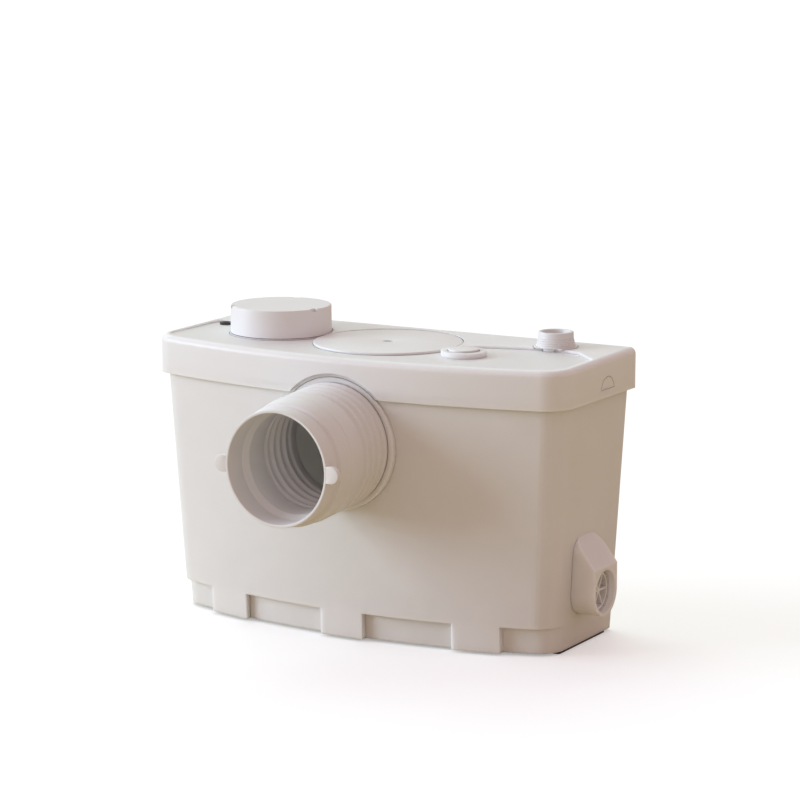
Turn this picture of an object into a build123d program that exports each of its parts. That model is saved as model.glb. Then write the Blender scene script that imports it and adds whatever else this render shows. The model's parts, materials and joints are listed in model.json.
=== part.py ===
from build123d import *
from math import atan2, cos, degrees, radians, sin
import os

# Sewage lifting unit with a macerating pump. Sizes are millimetres.
# X runs across the unit from its middle, Y from the front (low) to the wall (high), Z up from the floor.

# Tank
tank_rim = 238.5
tank_wall = 3.5
tank_floor = 5.5
tank_corner = 26.0
tank_back_corner = 6.0
draft_side = 12.0
draft_front = 11.0
draft_back = 7.0
foot_bow_gain = 0.5
foot_height = 2.5
foot_width = 12.0
foot_edge = 1.0
foot_front_inset = 17.0
foot_back_inset = 12.0
foot_corner = 4.0

# Castellated band round the bottom of the tank
band_height = 27.5
band_depth = 7.0
pad_width = 45.0
pad_pitch = 135.0
pad_root = -60.0

# Lid
lid_half = 221.0
lid_side = 149.0
lid_bow = 33.0
lid_back = 4.0
lid_corner = 30.0
lid_back_corner = 6.0
lid_wall = 3.0
lid_shoulder = 9.0
lid_rise = 33.5
lid_slope = 2.5
lid_edge_round = 6.0
skirt_lap = 5.0
skirt_side_gap = 3.0
skirt_front_gap = 2.0
skirt_back_gap = 1.0
rim_bow_gain = 1.0
gasket_thick = 2.5
gasket_inset = 0.6

# Sunken deck in the lid's top
deck_drop = 3.3
deck_thick = 3.0
deck_inset = 7.0
deck_rear = -53.0
deck_round = 7.0
seat_drop = 1.7

# Catch marks in the lid's two sides
catch_y = -58.5
catch_up = 7.5
catch_radius = 14.0
catch_rise = 12.4
catch_depth = 0.8
catch_line = 1.1

# Toilet inlet and its flexible ribbed sleeve
inlet_z = 188.5
mouth_radius = 53.9
mouth_reach = 93.0
mouth_band = 19.0
mouth_chamfer = 0.9
sleeve_wall = 2.8
sleeve_drop = 8.0
sleeve_drift = -5.0
sleeve_neck_step = 0.6
sleeve_inside = 23.0
sleeve_bead = 2.5
sleeve_bead_thick = 3.0
cuff_step = 3.0
cuff_slope = 1.2
cuff_length = 17.0
barrel_edge = 0.7
barrel_step = 4.1
barrel_length = 40.0
rib_count = 4
rib_pitch = 9.5
rib_depth = 2.4
lip_height = 2.3
lip_setback = 30.0
lip_taper = 6.0
ear_reach = 12.0
ear_half = 8.0
ear_thick = 5.0
boss_margin = 4.5
boss_depth = 11.0
boss_gap = 0.3
arch_margin = 3.5

# Side inlet with its hood and plug
port_y = -76.0
port_z = 55.0
port_bore = 20.2
port_depth = 7.0
port_step = 1.2
port_wall = 3.3
port_reach = 27.0
port_root = 8.0
hood_rise = 52.0
hood_round = 14.1
hood_land = 5.0
plug_gap = 0.35
plug_setback = 0.5
plug_skin = 2.5
plug_length = 12.0
plug_ribs = 3
plug_rib_thick = 1.8
plug_hub = 3.0
seal_width = 3.0
seal_depth = 1.2
seal_play = 0.1

# Basin inlet ring and its plug
basin_from_side = 124.5
basin_y = -107.0
basin_radius = 21.2
basin_bore = 15.0
basin_rise = 5.1
basin_depth = 24.0
basin_plug_gap = 0.7
basin_plug_proud = 1.7
basin_plug_head = 8.0
basin_plug_length = 22.0
basin_plug_skin = 3.0

# Threaded outlet nozzle
outlet_from_side = 67.7
outlet_y = -32.0
outlet_radius = 16.7
outlet_root = 18.6
outlet_tail_radius = 16.0
outlet_bore = 12.7
outlet_rise = 17.3
outlet_band = 4.0
outlet_chamfer = 0.8
outlet_seat_rise = 1.6
outlet_flange = 20.8
outlet_flange_thick = 2.0
outlet_flange_flat = 15.5
outlet_tail_reach = 19.7
spot_gap = 0.6

# Inspection opening and its round cover
column_y = -80.0
cover_radius = 71.0
cover_thick = 3.0
cover_gap = 1.0
cover_edge_gap = 0.6
cover_edge_round = 1.0
cover_lap = 11.0
cover_spigot = 6.0
cover_spigot_wall = 2.0
cover_spigot_gap = 0.8
cover_seal_width = 7.0
neck_wall = 3.0
screw_radius = 4.3
screw_shank = 2.4
screw_dimple = 1.6

# Charcoal vent
vent_from_side = 98.0
vent_y = -75.0
vent_radius = 48.7
vent_rise = 28.0
vent_wall = 2.4
vent_edge = 1.5
vent_neck_gap = 0.5
vent_base_step = 1.3
vent_base_ring = 1.0
vent_joint = 0.3
vent_notch_width = 6.5
vent_notch_depth = 3.2
vent_notches = 3
vent_notch_turn = 103.5
cartridge_margin = 10.7
cartridge_sink = 10.7
cartridge_headroom = 10.7
cartridge_wall = 2.0
cartridge_slots = 5
cartridge_slot_pitch = 12.0
cartridge_lip = 4.0

# Cable grommet
grommet_from_side = 23.0
grommet_y = -58.0
grommet_radius = 5.0
grommet_bore = 3.4
grommet_lip = 1.4
grommet_top = 2.1
grommet_tail = 2.0

# Motor and its sealed capsule
shaft_radius = 5.0
shaft_chamfer = 0.6
running_gap = 0.05
capsule_radius = 40.0
capsule_wall = 2.5
capsule_above_rim = 7.5
capsule_depth = 108.0
capsule_floor = 4.0
flange_thick = 3.0
flange_margin = 1.5
stator_radius = 37.0
stator_bore = 24.0
stator_lift = 34.0
stator_height = 42.0
stator_slots = 12
stator_slot_depth = 7.0
stator_slot_width = 4.0
air_gap = 0.5
winding_height = 12.0
bearing_radius = 11.0
bearing_height = 7.0
bearing_lift = 7.0
bearing_drop = 12.0
shaft_seal_radius = 9.0
leg_count = 3
leg_radius = 4.0
leg_circle = 52.0
lug_height = 6.0
lug_margin = 1.5

# Macerator
plate_radius = 66.0
plate_thick = 3.0
plate_holes = 10
plate_hole_radius = 5.0
plate_hole_circle = 22.0
plate_play = 0.6
cage_wall = 2.5
cage_height = 84.0
cage_rim = 4.0
cage_slots = 20
cage_slot_width = 7.0
cage_slot_low = 7.0
cage_slot_high = 10.0
cutter_radius = 44.0
cutter_thick = 3.0
cutter_teeth = 6
cutter_gap = 1.2
cutter_hub = 12.0
cutter_hub_height = 14.0

# Pump
volute_height = 32.0
volute_wall = 3.0
volute_start = 36.0
volute_growth = 10.0
impeller_radius = 32.0
impeller_gap = 3.0
impeller_disc = 3.0
impeller_hub = 10.0
shaft_end_gap = 2.0
vane_count = 5
vane_height = 11.0
vane_thick = 2.6
pipe_radius = 12.5
pipe_wall = 2.0
pipe_bend = 30.0
spout_wall = 1.5
spout_reach = 26.0
socket_depth = 12.0
pipe_lead = 18.0

# Check valve in the riser
valve_low = 118.0
valve_height = 48.0
valve_radius = 20.5
valve_chamber = 17.0
valve_floor = 7.0
valve_roof = 4.0
valve_pocket_head = 7.0
riser_foot = 8.0
riser_foot_step = 4.0
flap_radius = 12.0
flap_thick = 3.0
flap_pin_radius = 1.5
flap_pin_offset = 14.0
flap_lift = 0.4
knuckle_radius = 3.0
knuckle_half = 5.5
knuckle_play = 0.8
knuckle_room = 1.5
hinge_wall = 3.0

# Pressure switch and electrical box
box_gap = 10.5
box_y = -58.0
box_width = 50.0
box_depth = 92.0
box_height = 72.0
box_hang = 17.7
box_wall = 2.5
box_corner = 5.0
box_cover_thick = 2.5
box_cover_lap = 1.0
box_post = 4.0
box_post_inset = 5.0
switch_y = -66.0
tube_radius = 9.0
tube_wall = 2.0
tube_clearance = 14.0
bell_radius = 15.0
bell_height = 30.0
bell_taper = 6.0
diaphragm_radius = 16.0
switch_wall = 3.0
switch_floor = 2.0
switch_cup = 8.0
switch_dome = 1.5
switch_cap = 3.5
plunger_radius = 3.0
plunger_height = 12.0
plunger_travel = 3.0
plunger_rest = 0.5
button_height = 2.0
button_half = 2.0
button_play = 1.5
micro_height = 12.0
micro_half = 5.0
micro_reach = 15.0
micro_pin = 5.0
can_radius = 13.0
can_height = 52.0
can_edge = 1.5
can_gap = 1.0
can_shift = 4.0
tab_height = 7.0
terminal_half = 19.0
terminal_depth = 14.0
terminal_height = 16.0
terminal_ways = 5
terminal_pitch = 7.4

half_turn = 180.0
full_turn = 360.0
beyond = 400.0

# Heights and places that follow from the sizes above
skirt_low = tank_rim - skirt_lap
shoulder_z = tank_rim + gasket_thick
lid_back_top = tank_rim + lid_rise
deck_top = lid_back_top - deck_drop
deck_low = deck_top - deck_thick
seat_z = deck_top - seat_drop
tank_top_half = lid_half - lid_wall - skirt_side_gap
tank_top_side = lid_side - lid_wall - skirt_front_gap
tank_top_bow = lid_bow + rim_bow_gain
tank_top_back = lid_back - lid_wall - skirt_back_gap
tank_foot_half = tank_top_half - draft_side
tank_foot_side = tank_top_side - draft_front
tank_foot_back = tank_top_back - draft_back
lid_front = lid_side + lid_bow
boss_face = lid_wall - lid_front
boss_back = boss_face + boss_depth
sleeve_bore = mouth_radius - sleeve_wall
sleeve_reach = mouth_reach - boss_face
sleeve_neck_radius = mouth_radius + sleeve_neck_step
sleeve_end = -boss_face - sleeve_inside
barrel_radius = mouth_radius + barrel_step
barrel_end = barrel_length - boss_face
boss_radius = barrel_radius + boss_margin
port_radius = port_bore + port_wall
port_inner = port_bore - port_step
port_face = tank_foot_half + port_reach
plug_face = port_face - port_depth - plug_setback
basin_x = lid_half - basin_from_side
basin_top = deck_top + basin_rise
outlet_x = lid_half - outlet_from_side
outlet_top = deck_top + outlet_rise
outlet_seat = deck_top + outlet_seat_rise
outlet_tail = deck_top - outlet_tail_reach
neck_radius = cover_radius - cover_lap
cover_low = seat_z + cover_gap
cover_top = cover_low + cover_thick
vent_x = vent_from_side - lid_half
vent_top = deck_top + vent_rise
vent_base = deck_top + vent_base_ring
cartridge_radius = vent_radius - cartridge_margin
cartridge_low = deck_top - cartridge_sink
cartridge_high = vent_top - cartridge_headroom
grommet_x = grommet_from_side - lid_half
capsule_flange_z = tank_rim + capsule_above_rim
capsule_top = capsule_flange_z + flange_thick
capsule_flange = neck_radius + flange_margin
capsule_low = capsule_top - flange_thick - capsule_depth
stator_low = capsule_low + stator_lift
pump_low = foot_height + tank_floor
plate_low = pump_low + volute_height
plate_top = plate_low + plate_thick
impeller_low = pump_low + volute_wall + impeller_gap
box_x = tank_wall + box_gap + box_width / 2 - tank_top_half
box_high = deck_low - box_hang
box_low = box_high - box_height
switch_base = box_low + box_wall
switch_top = switch_base + switch_cup + switch_cap
plunger_low = switch_base + switch_floor + plunger_rest
plunger_top = plunger_low + plunger_height
micro_low = plunger_top + plunger_travel + button_play
tube_low = pump_low + tube_clearance


# Shared shapes
def disc(radius, low, high):
    """Upright cylinder on the Z axis between two heights."""
    return Pos(0, 0, low) * Cylinder(radius, high - low, align=(Align.CENTER, Align.CENTER, Align.MIN))


def ring(outer, inner, low, high):
    """Upright tube on the Z axis between two heights."""
    return disc(outer, low, high) - disc(inner, low - 1, high + 1)


def block(x_low, x_high, y_low, y_high, z_low, z_high):
    """Box between two corners."""
    size = (x_high - x_low, y_high - y_low, z_high - z_low)
    return Pos(x_low, y_low, z_low) * Box(*size, align=(Align.MIN, Align.MIN, Align.MIN))


def turned(points):
    """Solid turned about the Z axis from (radius, height) points."""
    profile = make_face(Polyline(*[(r, 0, z) for r, z in points], close=True))
    return revolve(profile, Axis.Z)


def around(count, start=0.0):
    """Turns that repeat a feature evenly about the Z axis."""
    return [Rot(0, 0, start + i * full_turn / count) for i in range(count)]


def bowed_outline(half, side, bow, back, front_round, back_round):
    """Plan of the unit: straight back and sides and a front that bows out."""
    edges = [
        Line((-half, back), (half, back)),
        Line((half, back), (half, -side)),
        ThreePointArc((half, -side), (0, -side - bow), (-half, -side)),
        Line((-half, -side), (-half, back)),
    ]
    face = make_face(edges)
    face = fillet(face.vertices().sort_by(Axis.Y)[:2], front_round)
    return fillet(face.vertices().sort_by(Axis.Y)[-2:], back_round)


def tank_outline(z, inset):
    """Tank's plan at a height, drafted between foot and rim, moved in by an inset."""
    short = (tank_rim - z) / (tank_rim - foot_height)
    half = tank_top_half - draft_side * short - inset
    side = tank_top_side - draft_front * short - inset
    bow = tank_top_bow + foot_bow_gain * short
    back = tank_top_back - draft_back * short - inset
    back_round = max(tank_back_corner - inset / 2, 2.0)
    face = bowed_outline(half, side, bow, back, tank_corner - inset / 2, back_round)
    return Pos(0, 0, z) * face


def tank_body(low, high, inset):
    """Drafted tank volume between two heights."""
    return loft([tank_outline(low, inset), tank_outline(high, inset)])


def lid_outline(inset):
    """Lid's plan, moved in by an inset."""
    round_in = lid_corner - inset
    back_in = max(lid_back_corner - inset, 2.0)
    return bowed_outline(lid_half - inset, lid_side - inset, lid_bow, lid_back - inset, round_in, back_in)


def lid_body(low, high, inset):
    """Upright lid volume between two heights."""
    return Pos(0, 0, low) * extrude(lid_outline(inset), high - low)


def along_y(radius, front, back, x=0.0, z=0.0):
    """Cylinder along Y between two depths."""
    start = Plane(origin=(x, front, z), x_dir=(1, 0, 0), z_dir=(0, 1, 0))
    return extrude(start * Circle(radius), back - front)


def along_x(radius, left, right, y=0.0, z=0.0):
    """Cylinder along X between two places."""
    start = Plane(origin=(left, y, z), x_dir=(0, 1, 0), z_dir=(1, 0, 0))
    return extrude(start * Circle(radius), right - left)


# Tank with its castellated band, inlet boss and side inlet
def band_recess():
    """Material taken from the band between its pads: the front is set back there, and the
    recess fades out round the corners, as the sides stay where they are."""
    low, high = foot_height - 1, band_height
    shell = tank_body(low, high, -band_depth) - Pos(0, band_depth) * tank_body(low, high, 0)
    pads = [block(x - pad_width / 2, x + pad_width / 2, -beyond, pad_root, low, high)
            for x in (-pad_pitch, 0, pad_pitch)]
    pads.append(block(-beyond, beyond, pad_root, beyond, low, high))
    return shell - pads


def side_port():
    """Stub for the side inlet with a hood that slopes back to the wall above it."""
    inner = tank_foot_half - port_root
    stub = along_x(port_radius, inner, port_face, port_y, port_z)
    plan = Pos(0, hood_rise / 2) * Rectangle(2 * port_radius, hood_rise)
    plan = fillet(plan.vertices().sort_by(Axis.Y)[-2:], hood_round)
    start = Plane(origin=(inner, port_y, port_z), x_dir=(0, 1, 0), z_dir=(1, 0, 0))
    hood = extrude(start * plan, port_face - inner)
    slope = degrees(atan2(port_reach - hood_land, hood_rise - port_radius))
    cutter_block = Box(beyond, beyond, beyond, align=(Align.MIN, Align.CENTER, Align.CENTER))
    above = Pos(port_face, port_y, port_z + port_radius) * Rot(0, -slope, 0) * cutter_block
    return stub + (hood - above)


def make_tank():
    body = tank_body(foot_height, tank_rim, 0) - band_recess()
    boss = along_y(boss_radius, boss_face, boss_back, 0, inlet_z)
    body = body + boss + side_port()
    sump_top = band_height + tank_wall
    cavity = tank_body(sump_top, tank_rim + 1, tank_wall) - boss
    sump_low = foot_height + tank_floor
    sump = tank_body(sump_low, sump_top, tank_wall)
    sump = sump & Pos(0, band_depth) * tank_body(sump_low, sump_top, tank_wall)
    body = body - cavity - sump
    body = body - along_y(sleeve_neck_radius, boss_face - 1, boss_back + 1, 0, inlet_z)
    through = along_x(port_inner, tank_foot_half - band_depth - 2 * tank_wall, port_face, port_y, port_z)
    socket = along_x(port_bore, port_face - port_depth, port_face + 1, port_y, port_z)
    return body - through - socket


def make_foot(side):
    """Rubber strip under one side of the tank."""
    middle = tank_foot_half - band_depth - foot_edge - foot_width / 2
    front = foot_front_inset - tank_foot_side
    back = tank_foot_back - foot_back_inset
    strip = block(-foot_width / 2, foot_width / 2, front, back, 0, foot_height)
    return Pos(side * middle, 0) * fillet(strip.edges().filter_by(Axis.Z), foot_corner)


# Lid
def lid_pocket():
    """Sunken deck: the lid's plan moved in, with a rear edge that swings forward beside the outlet."""
    lip = outlet_y - outlet_flange_flat
    wide = lid_half + deck_inset
    edge = [(-wide, -beyond), (wide, -beyond), (wide, deck_rear - 39),
            (outlet_x + 33, deck_rear + 3), (outlet_x + outlet_flange, lip + 1),
            (outlet_x - outlet_flange, lip), (basin_x + 7, deck_rear - 2), (basin_x - 8, deck_rear - 8),
            (neck_radius, column_y), (-neck_radius, column_y), (vent_x, deck_rear),
            (vent_x - vent_radius, deck_rear + 4), (-wide, deck_rear + 5)]
    plan = lid_outline(deck_inset) & make_face(Polyline(*edge, close=True))
    ends = plan.vertices().filter_by_position(Axis.Y, column_y - deck_inset, lid_back)
    outer = ends.sort_by(Axis.X)
    plan = fillet([outer[0], outer[-1]], deck_round)
    return Pos(0, 0, deck_top) * extrude(plan, lid_rise)


def catch_mark(side):
    """D-shaped groove that marks a catch in the skirt."""
    low = skirt_low + catch_up
    centre_z = low + catch_rise - catch_radius
    middle = side * (lid_half + 1 - catch_depth)
    mark = along_x(catch_radius, middle - 1, middle + 1, catch_y, centre_z)
    front, back = catch_y - catch_radius, catch_y + catch_radius
    mark = mark & block(middle - 1, middle + 1, front, back, low, low + catch_radius)
    inner = along_x(catch_radius - catch_line, middle - 2, middle + 2, catch_y, centre_z)
    inner = inner & block(middle - 2, middle + 2, front, back, low + catch_line, low + catch_radius)
    return mark - inner


def round_seat(x, y, radius, hole):
    """Cut for a sunken round seat, and the pad that keeps the deck thick under it."""
    place = Pos(x, y)
    cut = place * disc(radius, seat_z, lid_back_top + 1)
    pad = place * ring(radius + lid_wall, hole, seat_z - deck_thick, deck_low + 0.5)
    return cut, pad


def make_lid():
    blank = lid_body(skirt_low, lid_back_top + 1, 0)
    tilt = degrees(atan2(lid_slope, lid_front + lid_back))
    cap = Box(2 * beyond, 2 * beyond, beyond, align=(Align.CENTER, Align.CENTER, Align.MIN))
    blank = blank - Pos(0, 0, lid_back_top) * Rot(tilt, 0, 0) * cap
    top = blank.faces().sort_by(Axis.Z)[-1]
    blank = fillet(top.edges(), lid_edge_round)
    body = blank - lid_pocket()
    body = body - lid_body(skirt_low - 1, shoulder_z, lid_wall)
    body = body - lid_body(shoulder_z - 1, deck_low, lid_shoulder)
    body = body - along_y(boss_radius + arch_margin, -lid_front - 1, boss_face, 0, inlet_z)
    body = body - along_y(boss_radius + boss_gap, boss_face - 1, boss_back + 1, 0, inlet_z)
    body = body - catch_mark(-1) - catch_mark(1)
    neck_bore = neck_radius - neck_wall
    vent_out = vent_radius - vent_wall - vent_neck_gap
    vent_place = Pos(vent_x, vent_y)
    cover_cut, cover_pad = round_seat(0, column_y, cover_radius + cover_edge_gap, neck_bore + 1)
    vent_edge_radius = vent_radius + vent_base_step + cover_edge_gap
    vent_cut, vent_pad = round_seat(vent_x, vent_y, vent_edge_radius, vent_out - 1)
    body = body + cover_pad + vent_pad - cover_cut - vent_cut
    body = body + Pos(0, column_y) * ring(neck_radius, neck_bore, capsule_top, seat_z - 0.5)
    body = body - Pos(0, column_y) * disc(neck_bore, capsule_top - 1, lid_back_top + 1)
    vent_floor_z = cartridge_low - vent_wall
    body = body + vent_place * disc(vent_radius + vent_base_step, seat_z - 1, vent_base)
    body = body + vent_place * disc(vent_out, vent_floor_z, cartridge_high)
    body = body - vent_place * disc(vent_out - vent_wall, cartridge_low, cartridge_high + 1)
    body = body - vent_place * disc(cartridge_radius - cartridge_lip, vent_floor_z - 1, cartridge_low + 1)
    basin_place = Pos(basin_x, basin_y)
    body = body + basin_place * disc(basin_radius, deck_top - basin_depth, basin_top)
    body = body - basin_place * disc(basin_bore, deck_top - basin_depth - 1, basin_top + 1)
    outlet_place = Pos(outlet_x, outlet_y)
    body = body - outlet_place * disc(outlet_tail_radius, deck_low - 1, lid_back_top + 1)
    body = body - outlet_place * disc(outlet_flange + spot_gap, outlet_seat, lid_back_top + 1)
    grommet_place = Pos(grommet_x, grommet_y)
    body = body - grommet_place * disc(grommet_radius, deck_low - 1, lid_back_top + 1)
    return body - grommet_place * disc(grommet_radius + grommet_lip + spot_gap, deck_top, lid_back_top + 1)


def make_gasket():
    """Flat seal between the tank's rim and the lid."""
    band = tank_body(tank_rim, shoulder_z, gasket_inset)
    band = band - tank_body(tank_rim - 1, shoulder_z + 1, tank_wall)
    return band - along_y(boss_radius + boss_gap, -lid_front, boss_back, 0, inlet_z)


# Flexible inlet sleeve
def sleeve_section(depth, radius):
    """Circle of the sleeve at a depth, on a centre line that sags towards the mouth."""
    share = (depth + boss_face) / (mouth_reach - lip_setback)
    share = min(max(share, 0), 1)
    centre = (sleeve_drift * share, -depth, inlet_z - sleeve_drop * share)
    plane = Plane(origin=centre, x_dir=(1, 0, 0), z_dir=(0, 1, 0))
    return plane * Circle(radius)


def rib_sections(peak, valley):
    """Ribs of the bellows: four circles each, from the barrel towards the tank."""
    sections = []
    for i in range(rib_count):
        start = barrel_end - i * rib_pitch
        sections.append((start, peak))
        sections.append((start - 0.2 * rib_pitch, valley))
        sections.append((start - 0.5 * rib_pitch, valley))
        sections.append((start - 0.7 * rib_pitch, peak))
    return sections


def make_sleeve():
    """Bellows with a plain cuff at the mouth and a neck that snaps into the tank's wall."""
    seat = -boss_face
    cuff = sleeve_reach - mouth_band
    outer = [(sleeve_reach, mouth_radius - mouth_chamfer), (sleeve_reach - mouth_chamfer, mouth_radius),
             (cuff, mouth_radius), (cuff - cuff_slope, mouth_radius + cuff_step),
             (cuff - cuff_length, barrel_radius - barrel_edge),
             (cuff - cuff_length - barrel_edge, barrel_radius)]
    outer += rib_sections(barrel_radius, barrel_radius - rib_depth)
    outer += [(seat + 2, barrel_radius), (seat, barrel_radius - barrel_edge)]
    skin = loft([sleeve_section(y, r) for y, r in outer], ruled=True)
    neck = along_y(sleeve_neck_radius, boss_face, -sleeve_end, 0, inlet_z)
    bead = along_y(sleeve_neck_radius + sleeve_bead, boss_back, boss_back + sleeve_bead_thick, 0, inlet_z)
    lip_y = sleeve_reach - lip_setback
    lip = sleeve_bore - lip_height
    inner = [(sleeve_reach + 1, sleeve_bore), (lip_y + lip_taper, sleeve_bore), (lip_y, lip),
             (barrel_end + 3, lip), (barrel_end + 1, sleeve_bore)]
    inner += rib_sections(sleeve_bore + 0.5, sleeve_bore + 0.5 - rib_depth)
    inner += [(seat + 2, sleeve_bore), (sleeve_end - 1, sleeve_bore)]
    hollow = loft([sleeve_section(y, r) for y, r in inner], ruled=True)
    return skin + neck + bead + make_ears() - hollow


def make_ears():
    """Two half-round pull tabs beside the mouth."""
    mouth = (sleeve_drift, -sleeve_reach, inlet_z - sleeve_drop)
    plane = Plane(origin=mouth, x_dir=(1, 0, 0), z_dir=(0, 1, 0))
    centre = mouth_radius + ear_reach - ear_half
    slot = Rectangle(2 * centre, 2 * ear_half)
    for side in (-1, 1):
        slot = slot + Pos(side * centre, 0) * Circle(ear_half)
    slot = slot - Circle(mouth_radius - 1)
    return extrude(plane * slot, ear_thick)


# Side inlet plug
def make_side_plug():
    """Cup with a ribbed face that closes the side inlet."""
    radius = port_inner - plug_gap
    root = plug_face - plug_length
    body = along_x(radius, root, plug_face, port_y, port_z)
    body = body - along_x(radius - plug_skin, root + plug_skin, plug_face + 1, port_y, port_z)
    hub = along_x(plug_hub, root + 1, plug_face, port_y, port_z)
    reach = radius - plug_skin / 2
    rib = block(root + 1, plug_face, -reach, reach, -plug_rib_thick / 2, plug_rib_thick / 2)
    for i in range(plug_ribs):
        hub = hub + Pos(0, port_y, port_z) * Rot(i * half_turn / plug_ribs, 0, 0) * rib
    low, high = side_groove(seal_width)
    groove = along_x(port_inner, low, high, port_y, port_z)
    groove = groove - along_x(radius - seal_depth, low - 1, high + 1, port_y, port_z)
    return body + hub - groove


def side_groove(width):
    """Ends of a band in the middle of the side plug's length."""
    middle = plug_face - plug_length / 2
    return middle - width / 2, middle + width / 2


def make_side_seal():
    """Ring in the side plug's groove."""
    low, high = side_groove(seal_width - 2 * seal_play)
    outer = along_x(port_inner - seal_play, low, high, port_y, port_z)
    inner = along_x(port_inner - plug_gap - seal_depth + running_gap, low - 1, high + 1, port_y, port_z)
    return outer - inner


# Basin inlet plug
def basin_groove():
    """Middle height of the basin plug's seal."""
    return basin_top - basin_plug_length + basin_plug_head


def make_basin_plug():
    """Plug whose raised disc stands a little above the ring round it."""
    top = basin_top + basin_plug_proud
    head = basin_bore - basin_plug_gap
    body = basin_bore - plug_gap
    hollow = body - basin_plug_skin
    low = basin_top - basin_plug_length
    step = basin_top - basin_plug_head
    points = [(0, top), (head - plug_gap, top), (head, top - plug_gap), (head, step + 2), (body, step + 2),
              (body, low), (hollow, low), (hollow, step), (0, step)]
    middle = basin_groove()
    groove = ring(basin_bore, body - seal_depth, middle - seal_width / 2, middle + seal_width / 2)
    return Pos(basin_x, basin_y) * (turned(points) - groove)


def make_basin_seal():
    """Ring in the basin plug's groove."""
    half = seal_width / 2 - seal_play
    inner = basin_bore - plug_gap - seal_depth + running_gap
    seal = ring(basin_bore - seal_play, inner, basin_groove() - half, basin_groove() + half)
    return Pos(basin_x, basin_y) * seal


# Outlet nozzle
def make_nozzle():
    """Nozzle that tapers to a plain band at its top, on a flange whose front edge is flat."""
    flange_top = outlet_seat + outlet_flange_thick
    stem = turned([(outlet_bore, outlet_tail), (outlet_tail_radius, outlet_tail),
                   (outlet_tail_radius, flange_top - 1), (outlet_root, flange_top - 1),
                   (outlet_root, flange_top),
                   (outlet_radius, outlet_top - outlet_band), (outlet_radius, outlet_top - outlet_chamfer),
                   (outlet_radius - outlet_chamfer, outlet_top), (outlet_bore, outlet_top)])
    flange = ring(outlet_flange, outlet_bore, outlet_seat, flange_top)
    front = block(-beyond, beyond, -beyond, -outlet_flange_flat, outlet_seat - 1, flange_top + 1)
    return Pos(outlet_x, outlet_y) * (stem + (flange - front))


# Inspection cover
def make_cover():
    """Round cover with a spigot ring and a screw dimple."""
    spigot = neck_radius - neck_wall - cover_spigot_gap
    spigot_low = cover_low - cover_spigot
    points = [(0, cover_top), (cover_radius - cover_edge_round, cover_top),
              (cover_radius, cover_top - cover_edge_round), (cover_radius, cover_low), (spigot, cover_low),
              (spigot, spigot_low), (spigot - cover_spigot_wall, spigot_low),
              (spigot - cover_spigot_wall, cover_low), (0, cover_low)]
    cover = turned(points) + disc(2 * screw_radius, cover_low - cover_thick, cover_low + 1)
    dimple = disc(screw_radius + 0.3, cover_top - screw_dimple, cover_top + 1)
    cover = cover - dimple - disc(screw_shank, cover_low - cover_thick - 1, cover_top)
    return Pos(0, column_y) * cover


def make_cover_seal():
    """Flat ring under the cover, just outside its neck."""
    inner = neck_radius - neck_wall + 1
    return Pos(0, column_y) * ring(inner + cover_seal_width, inner, seat_z, cover_low)


def make_cover_screw():
    """Screw in the cover's dimple."""
    seat = cover_top - screw_dimple
    head = seat + cover_edge_round + 0.2
    screw = disc(screw_radius, seat, head) + disc(screw_shank, cover_low - cover_spigot, seat)
    slot = block(-screw_radius + 1, screw_radius - 1, -0.5, 0.5, head - 0.6, head + 1)
    return Pos(0, column_y) * (screw - slot)


# Charcoal vent
def make_vent_cap():
    """Deep cap with three notches in its top edge."""
    low = vent_base + vent_joint
    inner = vent_radius - vent_wall
    points = [(0, vent_top), (vent_radius - vent_edge, vent_top), (vent_radius, vent_top - vent_edge),
              (vent_radius, low), (inner, low), (inner, vent_top - vent_wall), (0, vent_top - vent_wall)]
    cap = turned(points)
    half = vent_notch_width / 2
    root = vent_radius - vent_wall - vent_edge
    notch = block(root, vent_radius + 1, -half, half, vent_top - vent_notch_depth, vent_top + 1)
    for turn in around(vent_notches, vent_notch_turn):
        cap = cap - turn * notch
    return Pos(vent_x, vent_y) * cap


def make_cartridge():
    """Slotted basket for the charcoal, open at the top."""
    low = cartridge_low + vent_joint
    basket = disc(cartridge_radius, low, cartridge_high)
    basket = basket - disc(cartridge_radius - cartridge_wall, low + cartridge_wall, cartridge_high + 1)
    reach = cartridge_radius - cartridge_margin - cartridge_wall
    half = cartridge_slot_pitch / 4
    slot = block(-half, half, -reach, reach, low - 1, low + cartridge_wall + 1)
    for i in range(cartridge_slots):
        basket = basket - Pos((i - (cartridge_slots - 1) / 2) * cartridge_slot_pitch, 0) * slot
    return Pos(vent_x, vent_y) * basket


def make_charcoal():
    """Pad of charcoal foam that fills the basket."""
    low = cartridge_low + vent_joint + cartridge_wall
    return Pos(vent_x, vent_y) * disc(cartridge_radius - cartridge_wall - 0.2, low, cartridge_high + 0.5)


def make_grommet():
    """Rubber grommet for the mains cable."""
    lip = grommet_radius + grommet_lip
    top = deck_top + grommet_top
    points = [(grommet_bore, top), (lip, top), (lip, deck_top), (grommet_radius, deck_top),
              (grommet_radius, deck_low), (lip, deck_low), (lip, deck_low - grommet_tail),
              (grommet_bore, deck_low - grommet_tail)]
    return Pos(grommet_x, grommet_y) * turned(points)


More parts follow.
